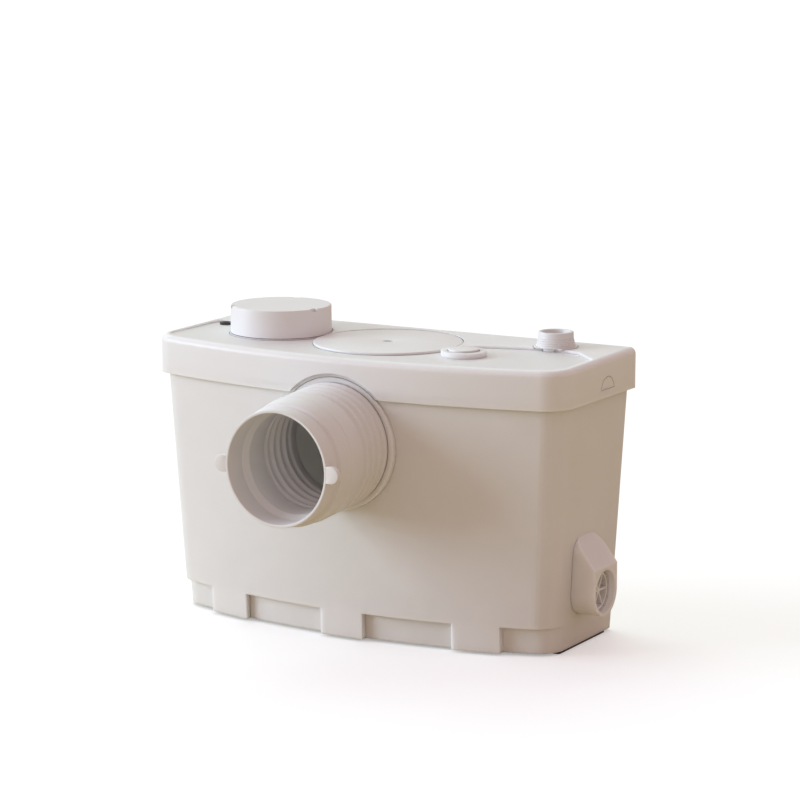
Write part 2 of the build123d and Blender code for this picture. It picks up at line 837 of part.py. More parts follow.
# Motor
def make_capsule():
    """Sealed can round the motor, with a flange at the top and three lugs at the foot."""
    inner = capsule_radius - capsule_wall
    wall = bearing_radius + volute_wall
    bearing_top = capsule_low + bearing_lift + bearing_height
    seal_top = capsule_low + capsule_floor
    base = seal_top + capsule_wall
    points = [(bearing_radius, bearing_top), (bearing_radius, seal_top), (shaft_seal_radius, seal_top),
              (shaft_seal_radius, capsule_low), (capsule_radius - 2, capsule_low),
              (capsule_radius, capsule_low + 2), (capsule_radius, capsule_flange_z),
              (capsule_flange, capsule_flange_z), (capsule_flange, capsule_top),
              (inner, capsule_top), (inner, base), (wall, base), (wall, bearing_top)]
    lug_half = leg_radius + lug_margin
    lug = block(inner + 1, leg_circle, -lug_half, lug_half, capsule_low, capsule_low + lug_height)
    lug = lug + Pos(leg_circle, 0) * disc(lug_half, capsule_low, capsule_low + lug_height)
    lugs = [turn * lug for turn in leg_turns()]
    return Pos(0, column_y) * (turned(points) + lugs)


def make_motor_cap():
    """Cap over the capsule with the upper bearing's seat under it."""
    inner = capsule_radius - capsule_wall
    lap = capsule_radius + flange_thick
    seat = bearing_radius + flange_thick
    hub_low = capsule_top - bearing_drop
    seat_top = hub_low + bearing_height + 1
    points = [(0, capsule_top + 2 * flange_thick), (inner - 4, capsule_top + 2 * flange_thick),
              (inner, capsule_top + flange_thick), (lap, capsule_top + flange_thick), (lap, capsule_top),
              (inner, capsule_top), (inner, capsule_top - flange_thick), (seat, capsule_top - flange_thick),
              (seat, hub_low), (bearing_radius, hub_low), (bearing_radius, seat_top),
              (bearing_radius - 3, seat_top),
              (bearing_radius - 3, capsule_top), (0, capsule_top)]
    return Pos(0, column_y) * turned(points)


def make_stator():
    """Ring of laminations with open winding slots."""
    low, high = stator_low, stator_low + stator_height
    core = ring(stator_radius, stator_bore, low, high)
    collar = ring(capsule_radius - capsule_wall, stator_radius - 1, low, low + lug_height)
    half = stator_slot_width / 2
    slot = block(stator_bore - 2, stator_bore + stator_slot_depth, -half, half, low - 1, high + 1)
    for turn in around(stator_slots):
        core = core - turn * slot
    return Pos(0, column_y) * (core + collar)


def make_winding(low):
    """Bundled coil end above or below the laminations."""
    inner = stator_bore + 1.5
    outer = stator_radius - 2
    high = low + winding_height
    points = [(inner, low), (outer, low), (outer + 1, low + winding_height / 2), (outer - 2, high),
              (inner + 1, high)]
    return Pos(0, column_y) * turned(points)


def make_rotor():
    """Rotor core with end rings, pressed on the shaft."""
    radius = stator_bore - air_gap
    low, high = stator_low, stator_low + stator_height
    core = ring(radius, shaft_radius, low, high)
    end_high = winding_height / 2 - 1
    ends = ring(0.87 * radius, 0.62 * radius, low - end_high, high + end_high)
    return Pos(0, column_y) * (core + ends)


def make_shaft():
    """Shaft that carries the rotor, the cutter and the impeller."""
    low = pump_low + volute_wall + shaft_end_gap
    top = capsule_top - bearing_drop + bearing_height + 0.5
    shaft = disc(shaft_radius, low, top)
    return Pos(0, column_y) * chamfer(shaft.edges().filter_by(GeomType.CIRCLE), shaft_chamfer)


def make_bearing(low):
    """Ball bearing with the groove of its seal."""
    high = low + bearing_height
    race = ring(bearing_radius, shaft_radius + running_gap, low, high)
    groove = ring(0.85 * bearing_radius, 0.64 * bearing_radius, high - 0.8, high + 1)
    return Pos(0, column_y) * (race - groove)


def make_shaft_seal():
    """Lip seal at the capsule's foot."""
    seal = ring(shaft_seal_radius, shaft_radius + running_gap, capsule_low, capsule_low + capsule_floor)
    return Pos(0, column_y) * seal


def leg_turns():
    """Turns to the legs' sides: the first stands at the back, so none blocks the front."""
    return around(leg_count, half_turn / 2)


def make_legs():
    """Posts that carry the motor capsule above the cutting plate."""
    leg = Pos(leg_circle, 0) * disc(leg_radius, plate_top, capsule_low)
    legs = [turn * leg for turn in leg_turns()]
    return Pos(0, column_y) * (legs[0] + legs[1:])


# Macerator
def make_plate():
    """Round cutting plate with a ring of holes into the pump."""
    plate = ring(plate_radius, shaft_radius + plate_play, plate_low, plate_top)
    hole = Pos(plate_hole_circle, 0) * disc(plate_hole_radius, plate_low - 1, plate_top + 1)
    for turn in around(plate_holes):
        plate = plate - turn * hole
    return Pos(0, column_y) * plate


def make_cage():
    """Slotted basket that holds solids back until they are cut small."""
    high = plate_top + cage_height
    inner = plate_radius - cage_wall
    cage = ring(plate_radius, inner, plate_top, high)
    cage = cage + ring(plate_radius, inner - cage_wall, high - cage_rim, high)
    slot = block(inner - 2 * cage_wall, plate_radius + 1, -cage_slot_width / 2, cage_slot_width / 2,
                 plate_top + cage_slot_low, high - cage_slot_high)
    for turn in around(cage_slots, half_turn / cage_slots):
        cage = cage - turn * slot
    return Pos(0, column_y) * cage


def make_cutter():
    """Toothed cutter disc with swept blades."""
    low = plate_top + cutter_gap
    hub = disc(cutter_hub, low, low + cutter_hub_height)
    step = full_turn / cutter_teeth
    tips = []
    for i in range(cutter_teeth):
        for share, reach in ((0.0, 1.0), (0.42, 0.86), (0.62, 0.42)):
            angle = radians((i + share) * step)
            tips.append((reach * cutter_radius * cos(angle), reach * cutter_radius * sin(angle)))
    blades = Pos(0, 0, low) * extrude(make_face(Polyline(*tips, close=True)), cutter_thick)
    bore = disc(shaft_radius, low - 1, low + cutter_hub_height + 1)
    return Pos(0, column_y) * (hub + blades - bore)


# Pump
def spiral(start, growth):
    """Outline of the pump's casing: a radius that grows evenly through one turn."""
    steps = 16
    points = []
    for i in range(steps + 1):
        angle = radians(90 - i * full_turn / steps)
        radius = start + growth * i / steps
        points.append((radius * cos(angle), radius * sin(angle)))
    return make_face([Spline(*points), Line(points[-1], points[0])])


def outlet_height():
    """Height of the discharge pipe's lower run."""
    return pump_low + volute_height / 2


def pump_outlet_y():
    """Depth of the pump's outlet, which leaves the casing along its rear edge."""
    return column_y + volute_start + volute_growth - pipe_radius + pipe_wall


def make_volute():
    """Spiral casing with a tangent outlet, open at the top under the cutting plate."""
    end = volute_start + spout_reach
    depth, height = pump_outlet_y(), outlet_height()
    outer_plan = spiral(volute_start + volute_wall, volute_growth)
    inner_plan = spiral(volute_start, volute_growth)
    outer = Pos(0, column_y, pump_low) * extrude(outer_plan, volute_height)
    inner = Pos(0, column_y, pump_low + volute_wall) * extrude(inner_plan, volute_height)
    spout_out = along_x(pipe_radius + spout_wall, 0, end, depth, height)
    spout_in = along_x(pipe_radius - pipe_wall, 0, end + 1, depth, height)
    socket = along_x(pipe_radius, end - socket_depth, end + 1, depth, height)
    above = block(-beyond, beyond, -beyond, beyond, plate_low, plate_low + volute_height)
    return outer + spout_out - inner - spout_in - socket - above


def make_impeller():
    """Open impeller with curved vanes."""
    high = impeller_low + impeller_disc + vane_height
    body = disc(impeller_radius, impeller_low, impeller_low + impeller_disc)
    body = body + disc(impeller_hub, impeller_low, high)
    arc = ThreePointArc((impeller_hub - 2, 0), (0.62 * impeller_radius, 0.22 * impeller_radius),
                        (impeller_radius + 2, 0.12 * impeller_radius))
    vane = Pos(0, 0, impeller_low) * extrude(trace(arc, line_width=vane_thick), high - impeller_low)
    for turn in around(vane_count):
        body = body + turn * vane
    body = body & disc(impeller_radius, impeller_low, high)
    return Pos(0, column_y) * (body - disc(shaft_radius, impeller_low - 1, high + 1))


def make_discharge():
    """Pipe from the pump's spout to the foot of the check valve."""
    start_x = volute_start + spout_reach - socket_depth
    start = (start_x, pump_outlet_y(), outlet_height())
    lead = (start_x + pipe_lead, pump_outlet_y(), outlet_height())
    turn = (outlet_x, outlet_y, outlet_height())
    end = (outlet_x, outlet_y, valve_low)
    path = FilletPolyline(start, lead, turn, end, radius=[pipe_bend, pipe_bend])
    section = Plane(origin=start, x_dir=(0, 1, 0), z_dir=(1, 0, 0))
    outer = sweep(section * Circle(pipe_radius), path=path)
    inner = sweep(section * Circle(pipe_radius - pipe_wall), path=path)
    return outer - inner


def make_riser():
    """Pipe from the check valve up to the nozzle's tail."""
    low = valve_low + valve_height
    pipe = ring(outlet_tail_radius, outlet_bore, low, outlet_tail)
    foot = ring(outlet_tail_radius + riser_foot_step, outlet_bore, low, low + riser_foot)
    return Pos(outlet_x, outlet_y) * (pipe + foot)


# Check valve
def valve_seat_z():
    """Height of the seat that the flap closes."""
    return valve_low + valve_floor


def flap_pin_z():
    """Height of the flap's pin."""
    return valve_seat_z() + knuckle_radius + flap_lift


def flap_pin(radius, half):
    """Cylinder on the flap's axis, over a half length."""
    return along_y(radius, -half, half, -flap_pin_offset, flap_pin_z())


def flap_pin_half():
    """Half length of the flap's pin, through both hinge walls."""
    return knuckle_half + knuckle_play + hinge_wall


def make_valve_body():
    """Round chamber with a seat at its foot and a pocket for the hinge."""
    high = valve_low + valve_height
    seat = valve_seat_z()
    half = knuckle_half + knuckle_play
    far = -flap_pin_offset - knuckle_radius - knuckle_room
    pocket_high = seat + 2 * knuckle_radius + valve_pocket_head
    body = disc(valve_radius, valve_low, high)
    wide = half + hinge_wall
    body = body + block(far - hinge_wall, 0, -wide, wide, valve_low, pocket_high + hinge_wall)
    body = body - disc(valve_chamber, seat, high - valve_roof) - disc(outlet_bore, seat, high + 1)
    body = body - disc(pipe_radius - pipe_wall, valve_low - 1, seat + 1)
    body = body - block(far, 0, -half, half, seat, pocket_high)
    return Pos(outlet_x, outlet_y) * (body - flap_pin(flap_pin_radius, flap_pin_half()))


def make_flap_pin():
    """Pin that the flap swings on."""
    return Pos(outlet_x, outlet_y) * flap_pin(flap_pin_radius, flap_pin_half())


def make_flap():
    """Swing flap that rests on the seat and lifts with the flow."""
    seat = valve_seat_z()
    top = seat + flap_thick
    arm_half = knuckle_half - knuckle_room
    arm = block(-flap_pin_offset, 0, -arm_half, arm_half, top - 1, top + 2)
    flap = disc(flap_radius, seat, top) + arm + flap_pin(knuckle_radius, knuckle_half)
    return Pos(outlet_x, outlet_y) * (flap - flap_pin(flap_pin_radius + running_gap, knuckle_half + 1))


# Pressure switch and electrical box
def make_box():
    """Splash-proof box for the controls, open at the top."""
    half_w = box_width / 2
    half_d = box_depth / 2
    shell = block(-half_w, half_w, -half_d, half_d, box_low, box_high)
    shell = fillet(shell.edges().filter_by(Axis.Z), box_corner)
    hollow = block(-half_w + box_wall, half_w - box_wall, -half_d + box_wall, half_d - box_wall,
                   switch_base, box_high + 1)
    hollow = fillet(hollow.edges().filter_by(Axis.Z), box_corner - box_wall)
    hole = Pos(0, switch_y - box_y) * disc(tube_radius - tube_wall, box_low - 1, switch_base + 1)
    return Pos(box_x, box_y) * (shell - hollow - hole)


def make_box_cover():
    """Cover of the box, hung from the lid on two posts."""
    half_w = box_width / 2
    half_d = box_depth / 2
    lap_w = half_w + box_cover_lap
    lap_d = half_d + box_cover_lap
    cover = block(-lap_w, lap_w, -lap_d, lap_d, box_high, box_high + box_cover_thick)
    cover = fillet(cover.edges().filter_by(Axis.Z), box_corner + box_cover_lap)
    post = disc(box_post, box_high + 1, deck_low)
    for y in (box_post_inset - half_d, half_d - box_post_inset):
        cover = cover + Pos(box_post_inset - half_w, y) * post
    return Pos(box_x, box_y) * cover


def make_air_bell():
    """Dip tube with a bell at its foot: rising water squeezes the air in it."""
    inner = tube_radius - tube_wall
    bell_top = tube_low + bell_height
    bell_bore = bell_radius - tube_wall
    points = [(inner, box_low), (tube_radius, box_low), (tube_radius, bell_top + bell_taper),
              (bell_radius, bell_top), (bell_radius, tube_low), (bell_bore, tube_low),
              (bell_bore, bell_top - 1), (inner, bell_top + bell_taper - 1)]
    return Pos(box_x, switch_y) * turned(points)


def make_switch_cup():
    """Lower half of the pressure switch, over the dip tube."""
    inner = tube_radius - tube_wall
    outer = diaphragm_radius + switch_wall
    floor = switch_base + switch_floor
    rim = switch_base + switch_cup
    points = [(inner, switch_base), (outer, switch_base), (outer, rim), (diaphragm_radius, rim),
              (diaphragm_radius, floor), (inner, floor)]
    return Pos(box_x, switch_y) * turned(points)


def make_diaphragm():
    """Stiff plate of the rubber diaphragm with its plunger."""
    rim = diaphragm_radius - plate_play
    points = [(0, plunger_low), (rim, plunger_low), (rim, plunger_low + 1.5),
              (plunger_radius + 2, plunger_low + 2), (plunger_radius, plunger_low + 3),
              (plunger_radius, plunger_top), (0, plunger_top)]
    return Pos(box_x, switch_y) * turned(points)


def make_switch_cap():
    """Upper half of the pressure switch, which guides the plunger."""
    low = switch_base + switch_cup
    inner = plunger_radius + running_gap
    outer = diaphragm_radius + switch_wall
    points = [(inner, low + switch_dome), (outer, low), (outer, switch_top), (inner, switch_top)]
    return Pos(box_x, switch_y) * turned(points)


def make_microswitch():
    """Snap-action switch above the plunger, on a foot beside it."""
    high = micro_low + micro_height
    room = button_half + 0.2
    case = block(-micro_half, micro_reach, -micro_half, micro_half, micro_low, high)
    case = case - block(-room, room, -room, room, micro_low - 1, micro_low + plunger_travel + button_half)
    root = micro_reach - 2 * plunger_radius
    foot = block(root, micro_reach, -micro_half, micro_half, switch_top, micro_low)
    pin = block(-0.4, 0.4, -button_half, button_half, high, high + micro_pin)
    for share in (0.12, 0.47, 0.82):
        case = case + Pos(share * (micro_reach + micro_half) - micro_half, 0) * pin
    return Pos(box_x, switch_y) * (case + foot)


def make_button():
    """Button of the snap-action switch, pushed by the plunger."""
    high = plunger_top + button_height
    stem_half = button_half - 0.4
    button = block(-button_half, button_half, -button_half, button_half, plunger_top, high)
    stem = block(-stem_half, stem_half, -stem_half, stem_half, high, micro_low + 1)
    return Pos(box_x, switch_y) * (button + stem)


def make_capacitor():
    """Motor capacitor standing at the back of the box."""
    top = switch_base + can_height
    can = turned([(0, switch_base), (can_radius - can_edge, switch_base),
                  (can_radius, switch_base + can_edge), (can_radius, top - can_edge),
                  (can_radius - can_edge, top), (0, top)])
    tab = block(-0.4, 0.4, -plunger_radius, plunger_radius, top, top + tab_height)
    for side in (-1, 1):
        can = can + Pos(side * 0.4 * can_radius, 0) * tab
    depth = box_y + box_depth / 2 - box_wall - can_gap - can_radius
    return Pos(box_x + can_shift, depth) * can


def make_terminals():
    """Terminal block at the front of the box."""
    front = box_wall + can_gap - box_depth / 2
    high = switch_base + terminal_height
    body = block(-terminal_half, terminal_half, front, front + terminal_depth, switch_base, high)
    half = 0.35 * terminal_pitch
    entry_depth = 0.36 * terminal_depth
    entry = block(-half, half, front - 1, front + entry_depth, switch_base + terminal_height / 4, box_high)
    well_low = switch_base + 0.56 * terminal_height
    well = Pos(0, front + 0.68 * terminal_depth) * disc(0.8 * half, well_low, box_high)
    for i in range(terminal_ways):
        body = body - Pos((i - (terminal_ways - 1) / 2) * terminal_pitch, 0) * (entry + well)
    return Pos(box_x, box_y) * body


def out(shape):
    """Moves a piece from the working frame to the middle of the unit's overall box."""
    return Pos(-(port_face - lid_half) / 2, (sleeve_reach - lid_back) / 2, 0) * shape


makers = {
    "tank": make_tank,
    "foot_left": lambda: make_foot(-1),
    "foot_right": lambda: make_foot(1),
    "lid": make_lid,
    "lid_gasket": make_gasket,
    "inlet_sleeve": make_sleeve,
    "side_inlet_plug": make_side_plug,
    "side_plug_seal": make_side_seal,
    "basin_inlet_plug": make_basin_plug,
    "basin_plug_seal": make_basin_seal,
    "outlet_nozzle": make_nozzle,
    "inspection_cover": make_cover,
    "cover_seal": make_cover_seal,
    "cover_screw": make_cover_screw,
    "vent_cap": make_vent_cap,
    "charcoal_basket": make_cartridge,
    "charcoal_pad": make_charcoal,
    "cable_grommet": make_grommet,
    "motor_capsule": make_capsule,
    "motor_cap": make_motor_cap,
    "motor_stator": make_stator,
    "winding_lower": lambda: make_winding(stator_low - winding_height),
    "winding_upper": lambda: make_winding(stator_low + stator_height),
    "bearing_lower": lambda: make_bearing(capsule_low + bearing_lift),
    "bearing_upper": lambda: make_bearing(capsule_top - bearing_drop),
    "shaft_seal": make_shaft_seal,
    "motor_legs": make_legs,
    "motor_rotor": make_rotor,
    "motor_shaft": make_shaft,
    "cutter": make_cutter,
    "impeller": make_impeller,
    "cutting_plate": make_plate,
    "macerator_cage": make_cage,
    "pump_casing": make_volute,
    "discharge_pipe": make_discharge,
    "riser_pipe": make_riser,
    "check_valve_body": make_valve_body,
    "check_valve_pin": make_flap_pin,
    "check_valve_flap": make_flap,
    "control_box": make_box,
    "control_box_cover": make_box_cover,
    "air_bell": make_air_bell,
    "pressure_switch_cup": make_switch_cup,
    "pressure_switch_cap": make_switch_cap,
    "diaphragm_plunger": make_diaphragm,
    "microswitch": make_microswitch,
    "microswitch_button": make_button,
    "capacitor": make_capacitor,
    "terminal_block": make_terminals,
}

if __name__ == "__main__":
    os.makedirs("parts", exist_ok=True)
    for name, maker in makers.items():
        export_step(out(maker()), "parts/" + name + ".step")
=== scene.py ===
import json
import math
import bmesh
import bpy
import numpy as np
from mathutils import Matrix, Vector


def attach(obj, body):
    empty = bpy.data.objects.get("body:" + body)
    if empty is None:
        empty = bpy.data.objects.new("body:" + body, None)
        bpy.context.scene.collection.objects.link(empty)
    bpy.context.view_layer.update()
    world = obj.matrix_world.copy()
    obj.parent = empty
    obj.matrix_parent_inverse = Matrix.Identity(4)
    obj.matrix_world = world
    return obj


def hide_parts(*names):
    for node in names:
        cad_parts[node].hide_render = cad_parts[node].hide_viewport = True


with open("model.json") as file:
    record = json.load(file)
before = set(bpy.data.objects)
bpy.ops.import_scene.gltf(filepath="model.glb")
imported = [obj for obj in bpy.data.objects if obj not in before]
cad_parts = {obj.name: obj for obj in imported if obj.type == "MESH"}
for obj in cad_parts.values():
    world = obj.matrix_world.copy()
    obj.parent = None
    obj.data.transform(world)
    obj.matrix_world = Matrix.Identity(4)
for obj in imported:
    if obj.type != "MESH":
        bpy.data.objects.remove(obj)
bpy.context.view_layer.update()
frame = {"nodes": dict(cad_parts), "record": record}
print("frame loaded")

# Lengths are millimetres in the unit's own frame: x from the middle, y from just before the lid's
# back edge (the front is negative) and z from the floor. The shift moves them to the shared frame.
unitShift = np.array([-4.5, 134.0, 0.0])


# Surfaces

# A corner gets no arc where half its angle, in degrees, is under the first or over the second
# limit, and an arc takes up at most this share of a run
arcs = dict(sharp=3, flat=86, share=0.48)
onAxis = 1e-6


def roundedLine(points, radius, steps):
    # Replaces each inner corner of an open line by an arc that touches both its runs
    points = np.asarray(points, float)
    out = [points[0]]
    for before, corner, after in zip(points[:-2], points[1:-1], points[2:]):
        a = before - corner
        b = after - corner
        lengthA = np.linalg.norm(a)
        lengthB = np.linalg.norm(b)
        a = a / lengthA
        b = b / lengthB
        half = math.acos(np.clip(a @ b, -1, 1)) / 2
        if half > math.radians(arcs["flat"]) or half < math.radians(arcs["sharp"]):
            out.append(corner)
            continue
        reach = min(radius / math.tan(half), lengthA * arcs["share"], lengthB * arcs["share"])
        r = reach * math.tan(half)
        centre = corner + (a + b) / np.linalg.norm(a + b) * (r / math.sin(half))
        start = corner + a * reach - centre
        sweep = math.pi - 2 * half
        side = np.sign(a[0] * b[1] - a[1] * b[0])
        for t in np.linspace(0, 1, steps + 1):
            angle = -side * sweep * t
            turn = np.array([[math.cos(angle), -math.sin(angle)], [math.sin(angle), math.cos(angle)]])
            out.append(centre + turn @ start)
    out.append(points[-1])
    return np.array(out)


def roundedLoop(points, radius, steps):
    # The same for a closed line
    points = np.asarray(points, float)
    middle = (points[0] + points[-1]) / 2
    run = np.vstack([[middle], points, [middle]])
    return roundedLine(run, radius, steps)[:-1]


def evenTurns(columns):
    return np.arange(columns) * 2 * math.pi / columns


def gridFaces(rows, columns, closed):
    # Quads between neighbouring points of a grid whose rows are rings. In a closed grid the last
    # ring also joins the first.
    r, c = np.meshgrid(np.arange(rows if closed else rows - 1), np.arange(columns), indexing="ij")
    r2 = (r + 1) % rows
    c2 = (c + 1) % columns
    corners = [r * columns + c, r * columns + c2, r2 * columns + c2, r2 * columns + c]
    return np.stack(corners, -1).reshape(-1, 4)


def capped(points, rows, columns, first, last):
    # Adds a pole before the first ring and one after the last, where they are given, each with a
    # fan of triangles to its ring
    triangles = [np.zeros((0, 3), int)]
    step = np.arange(columns)
    after = (step + 1) % columns
    top = (rows - 1) * columns
    if first is not None:
        points = np.vstack([points, [first]])
        triangles.append(np.stack([np.full(columns, len(points) - 1), after, step], -1))
    if last is not None:
        points = np.vstack([points, [last]])
        triangles.append(np.stack([np.full(columns, len(points) - 1), top + step, top + after], -1))
    return points, np.vstack(triangles)


def outward(points, quads, triangles):
    # Turns the faces outwards: the volumes of the tetrahedra from the origin to each triangle,
    # with their signs, have to add up to more than nothing
    faces = np.vstack([quads[:, :3], quads[:, [0, 2, 3]], triangles])
    a, b, c = (points[faces[:, i]] for i in range(3))
    if np.einsum("ij,ij->", a, np.cross(b, c)) < 0:
        quads = quads[:, ::-1]
        triangles = triangles[:, ::-1]
    return points, quads, triangles


def turnedShell(profile, turns, centre, shape=None):
    # Surface turned about an upright axis from (radius, height) points. A line that starts or
    # ends on the axis closes there in a pole, and any other line is taken as a closed loop. The
    # shape, where there is one, changes radius and height by the turn.
    profile = np.asarray(profile, float)
    poleStart = profile[0, 0] < onAxis
    poleEnd = profile[-1, 0] < onAxis
    ring = profile[int(poleStart):len(profile) - int(poleEnd)]
    radius, turn = np.meshgrid(ring[:, 0], turns, indexing="ij")
    height = np.repeat(ring[:, 1:2], len(turns), axis=1)
    if shape is not None:
        radius, height = shape(radius, turn, height)
    x, y = centre
    points = np.stack([radius * np.cos(turn) + x, radius * np.sin(turn) + y, height], -1).reshape(-1, 3)
    first = (x, y, profile[0, 1]) if poleStart else None
    last = (x, y, profile[-1, 1]) if poleEnd else None
    points, triangles = capped(points, len(ring), len(turns), first, last)
    return outward(points, gridFaces(len(ring), len(turns), not (poleStart or poleEnd)), triangles)


def slabShell(outline, low, high, edge, steps):
    # Slab over a closed plan outline between two heights, with rounded edges. Its plan is a
    # convex or gently bent loop, and each end is filled by a fan from the loop's middle.
    outline = np.asarray(outline, float)
    ahead = np.roll(outline, -1, 0) - np.roll(outline, 1, 0)
    normal = np.stack([ahead[:, 1], -ahead[:, 0]], -1)
    normal /= np.linalg.norm(normal, axis=1, keepdims=True)
    following = np.roll(outline, -1, 0)
    area = np.sum(outline[:, 0] * following[:, 1] - outline[:, 1] * following[:, 0])
    normal *= np.sign(area)
    rows = []
    for t in np.linspace(1, 0, steps + 1):
        a = t * math.pi / 2
        rows.append((low + edge * (1 - math.sin(a)), edge * (1 - math.cos(a))))
    rows += [(high + low - z, inset) for z, inset in rows[::-1]]
    points = [np.column_stack([outline - normal * inset, np.full(len(outline), z)]) for z, inset in rows]
    count = len(outline)
    middle = outline.mean(0)
    points, triangles = capped(np.vstack(points), len(rows), count, (*middle, low), (*middle, high))
    return outward(points, gridFaces(len(rows), count, False), triangles)


def joined(shells):
    # Several closed shells as one surface
    points, quads, triangles = [], [], []
    count = 0
    for p, q, t in shells:
        points.append(p)
        quads.append(q + count)
        triangles.append(t + count)
        count += len(p)
    return np.vstack(points), np.vstack(quads), np.vstack(triangles)


def meshFrom(name, shell):
    points, quads, triangles = shell
    points = (points + unitShift) / 1000
    mesh = bpy.data.meshes.new(name)
    loops = np.concatenate([quads.ravel(), triangles.ravel()]).astype(np.int32)
    sizes = np.concatenate([np.full(len(quads), 4), np.full(len(triangles), 3)]).astype(np.int32)
    starts = np.concatenate([[0], np.cumsum(sizes)[:-1]]).astype(np.int32)
    mesh.vertices.add(len(points))
    mesh.vertices.foreach_set("co", points.astype(np.float32).ravel())
    mesh.loops.add(len(loops))
    mesh.loops.foreach_set("vertex_index", loops)
    mesh.polygons.add(len(sizes))
    mesh.polygons.foreach_set("loop_start", starts)
    mesh.polygons.foreach_set("loop_total", sizes)
    mesh.update(calc_edges=True)
    mesh.validate()
    return mesh


def place(name, mesh, body, slot, nodes, sharp=40):
    # Adds the finished mesh to the scene, on its body and in place of its nodes. Its slot also
    # names its material, and edges that turn by more than sharp degrees stay sharp.
    mesh.shade_smooth()
    mesh.set_sharp_from_angle(angle=math.radians(sharp))
    piece = bpy.data.objects.new(name, mesh)
    bpy.context.scene.collection.objects.link(piece)
    mesh.materials.append(materials[slot])
    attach(piece, body)
    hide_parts(*nodes)
    return piece


# Points closer than merge (metres) become one, faces that meet flatter than flat (degrees) are
# joined, and edges sharper than sharp (degrees) are rounded in this many segments
softening = dict(merge=2e-6, flat=0.2, sharp=30, segments=2)


def softened(node, name, width):
    # Copy of a node with its points merged, flat faces joined and hard edges rounded
    work = bmesh.new()
    work.from_mesh(frame["nodes"][node].data)
    bmesh.ops.remove_doubles(work, verts=work.verts, dist=softening["merge"])
    flat = math.radians(softening["flat"])
    bmesh.ops.dissolve_limit(work, angle_limit=flat, verts=work.verts, edges=work.edges)
    mesh = bpy.data.meshes.new(name)
    work.to_mesh(mesh)
    work.free()
    piece = place(name, mesh, bodyOf[node], slotOf[node], [node], softening["sharp"])
    bevel = piece.modifiers.new("edges", "BEVEL")
    bevel.width = width / 1000
    bevel.segments = softening["segments"]
    bevel.limit_method = "ANGLE"
    bevel.angle_limit = math.radians(softening["sharp"])
    bevel.use_clamp_overlap = True
    bevel.harden_normals = False
    normals = piece.modifiers.new("normals", "WEIGHTED_NORMAL")
    normals.keep_sharp = True


# Materials

def nodeAt(tree, kind, **values):
    node = tree.nodes.new(kind)
    for key, value in values.items():
        setattr(node, key, value)
    return node


def feed(tree, node, **values):
    # Sets a node's sockets to fixed values or links other nodes' outputs to them. An
    # underscore in a name stands for a space.
    for key, value in values.items():
        socket = node.inputs[key.replace("_", " ")]
        if isinstance(value, bpy.types.NodeSocket):
            tree.links.new(value, socket)
        else:
            socket.default_value = value


def noiseAt(tree, spot, scale, detail):
    noise = nodeAt(tree, "ShaderNodeTexNoise")
    feed(tree, noise, Vector=spot, Scale=scale, Detail=detail)
    return noise.outputs["Fac"]


def ranged(tree, value, before, after):
    # Moves a value from one range to another
    step = nodeAt(tree, "ShaderNodeMapRange")
    feed(tree, step, Value=value, From_Min=before[0], From_Max=before[1], To_Min=after[0], To_Max=after[1])
    return step.outputs["Result"]


def mixed(tree, factor, a, b, blend="MIX"):
    mix = nodeAt(tree, "ShaderNodeMix", data_type="RGBA", blend_type=blend)
    feed(tree, mix, Factor=factor, A=a, B=b)
    return mix.outputs["Result"]


# What a look has where it says nothing else. Metres are the reach within which another surface paints shade
# into a groove, the relief's depth and the reach of red, green and blue light under the skin.
plainLook = dict(stretch=(1, 1, 1), broad=18, broadDetail=3, fine=1800, fineDetail=2,
                 toneSpread=(0.35, 0.65), paintedShadeSamples=6, paintedShadeReach=0.0012, paintedShadeSpread=(0.25, 0.75),
                 paintedShadeTone=0.2, roughSpread=0.05, relief=0.15, reliefDepth=0.00004, metal=0, through=0,
                 throughReach=(0.006, 0.0062, 0.0066))


def surface(name, look):
    # Moulded or machined surface: two close tones, two scales of relief, uneven gloss and painted shade in
    # grooves
    look = {**plainLook, **look}
    material = bpy.data.materials.new(name)
    material.use_nodes = True
    tree = material.node_tree
    scale = nodeAt(tree, "ShaderNodeMapping")
    feed(tree, scale, Scale=look["stretch"], Vector=nodeAt(tree, "ShaderNodeTexCoord").outputs["Object"])
    broad = noiseAt(tree, scale.outputs[0], look["broad"], look["broadDetail"])
    fine = noiseAt(tree, scale.outputs[0], look["fine"], look["fineDetail"])
    spread = ranged(tree, broad, look["toneSpread"], (0, 1))
    tone = mixed(tree, spread, (*look["light"], 1), (*look["dark"], 1))
    # Narrow grooves and gaps get painted shade: their colour is darkened where shade falls in them
    paintedShadeNode = nodeAt(tree, "ShaderNodeAmbientOcclusion", samples=look["paintedShadeSamples"])
    feed(tree, paintedShadeNode, Distance=look["paintedShadeReach"])
    shade = ranged(tree, paintedShadeNode.outputs["AO"], look["paintedShadeSpread"], (look["paintedShadeTone"], 1))
    rough = (look["rough"] - look["roughSpread"], look["rough"] + look["roughSpread"])
    relief = nodeAt(tree, "ShaderNodeBump")
    feed(tree, relief, Strength=look["relief"], Distance=look["reliefDepth"], Height=fine)
    feed(tree, tree.nodes["Principled BSDF"], Base_Color=mixed(tree, 1, tone, shade, "MULTIPLY"),
         Roughness=ranged(tree, fine, (0, 1), rough), Normal=relief.outputs[0], Metallic=look["metal"],
         Subsurface_Weight=look["through"], Subsurface_Radius=look["throughReach"], Subsurface_Scale=1)
    material.diffuse_color = (*look["light"], 1)
    return material


